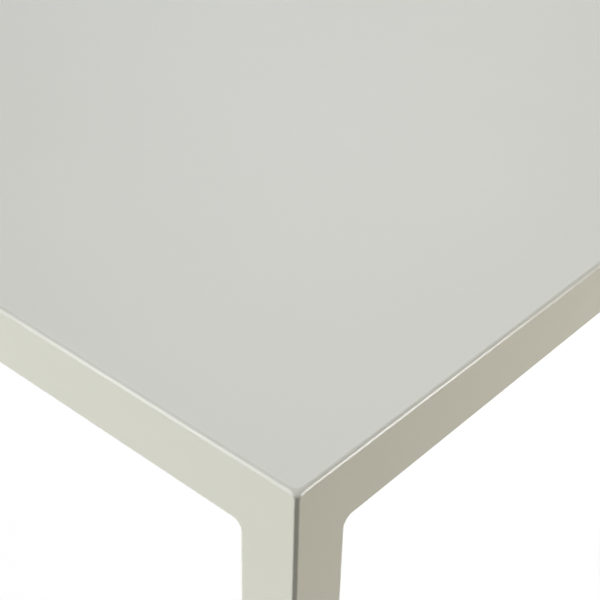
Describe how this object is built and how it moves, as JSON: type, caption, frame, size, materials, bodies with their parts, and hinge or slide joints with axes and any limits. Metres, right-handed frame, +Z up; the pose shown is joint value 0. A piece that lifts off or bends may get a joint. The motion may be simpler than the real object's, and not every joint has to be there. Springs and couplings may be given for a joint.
{
  "type": "parsons dining table",
  "caption": "Rectangular parsons dining table: square legs and flush aprons of welded tube under a flat sheet top, powder-coated pale warm grey, on levelling feet.",
  "frame": {"origin": "on the floor, under the middle of the table", "axes": "+X along the table's length, +Y from front to back, +Z up"},
  "size_m": [1.8, 0.9, 0.74],
  "materials": {
    "powder_coat": "satin",
    "bonding_adhesive": "matte",
    "plug_plastic": "matte",
    "zinc_plated_steel": "satin",
    "pad_plastic": "matte"
  },
  "bodies": {
    "frame": {"top_sheet": "powder_coat", "front_rail": "powder_coat", "back_rail": "powder_coat", "left_rail": "powder_coat", "right_rail": "powder_coat", "cross_bar_welds": "powder_coat", "sheet_stitch_welds": "powder_coat", "leg_front_left": "powder_coat", "side_weld_front_left": "powder_coat", "end_weld_front_left": "powder_coat", "leg_plug_front_left": "plug_plastic", "leg_nut_front_left": "zinc_plated_steel", "leg_front_right": "powder_coat", "side_weld_front_right": "powder_coat", "end_weld_front_right": "powder_coat", "leg_plug_front_right": "plug_plastic", "leg_nut_front_right": "zinc_plated_steel", "leg_back_left": "powder_coat", "side_weld_back_left": "powder_coat", "end_weld_back_left": "powder_coat", "leg_plug_back_left": "plug_plastic", "leg_nut_back_left": "zinc_plated_steel", "leg_back_right": "powder_coat", "side_weld_back_right": "powder_coat", "end_weld_back_right": "powder_coat", "leg_plug_back_right": "plug_plastic", "leg_nut_back_right": "zinc_plated_steel", "cross_bar_left": "powder_coat", "bond_strip_left": "bonding_adhesive", "cross_bar_middle": "powder_coat", "bond_strip_middle": "bonding_adhesive", "cross_bar_right": "powder_coat", "bond_strip_right": "bonding_adhesive"},
    "pad_front_left": {"foot_pad_front_left": "pad_plastic"},
    "screw_front_left": {"foot_screw_front_left": "zinc_plated_steel"},
    "pad_front_right": {"foot_pad_front_right": "pad_plastic"},
    "screw_front_right": {"foot_screw_front_right": "zinc_plated_steel"},
    "pad_back_left": {"foot_pad_back_left": "pad_plastic"},
    "screw_back_left": {"foot_screw_back_left": "zinc_plated_steel"},
    "pad_back_right": {"foot_pad_back_right": "pad_plastic"},
    "screw_back_right": {"foot_screw_back_right": "zinc_plated_steel"}
  },
  "joints": [
    {"name": "foot_travel_front_left", "type": "slide", "parent": "frame", "child": "pad_front_left", "axis": [0, 0, -1], "range_m": [0, 0.012]},
    {"name": "screw_turn_front_left", "type": "hinge", "parent": "pad_front_left", "child": "screw_front_left", "pos_m": [-0.875, -0.425, 0.003], "axis": [0, 0, -1], "range_deg": [0, 3456]},
    {"name": "foot_travel_front_right", "type": "slide", "parent": "frame", "child": "pad_front_right", "axis": [0, 0, -1], "range_m": [0, 0.012]},
    {"name": "screw_turn_front_right", "type": "hinge", "parent": "pad_front_right", "child": "screw_front_right", "pos_m": [0.875, -0.425, 0.003], "axis": [0, 0, -1], "range_deg": [0, 3456]},
    {"name": "foot_travel_back_left", "type": "slide", "parent": "frame", "child": "pad_back_left", "axis": [0, 0, -1], "range_m": [0, 0.012]},
    {"name": "screw_turn_back_left", "type": "hinge", "parent": "pad_back_left", "child": "screw_back_left", "pos_m": [-0.875, 0.425, 0.003], "axis": [0, 0, -1], "range_deg": [0, 3456]},
    {"name": "foot_travel_back_right", "type": "slide", "parent": "frame", "child": "pad_back_right", "axis": [0, 0, -1], "range_m": [0, 0.012]},
    {"name": "screw_turn_back_right", "type": "hinge", "parent": "pad_back_right", "child": "screw_back_right", "pos_m": [0.875, 0.425, 0.003], "axis": [0, 0, -1], "range_deg": [0, 3456]}
  ],
  "couplings": [
    {"joint": "screw_turn_front_left", "follows": "foot_travel_front_left", "rad_per_m": 5026.5},
    {"joint": "screw_turn_front_right", "follows": "foot_travel_front_right", "rad_per_m": 5026.5},
    {"joint": "screw_turn_back_left", "follows": "foot_travel_back_left", "rad_per_m": 5026.5},
    {"joint": "screw_turn_back_right", "follows": "foot_travel_back_right", "rad_per_m": 5026.5}
  ]
}
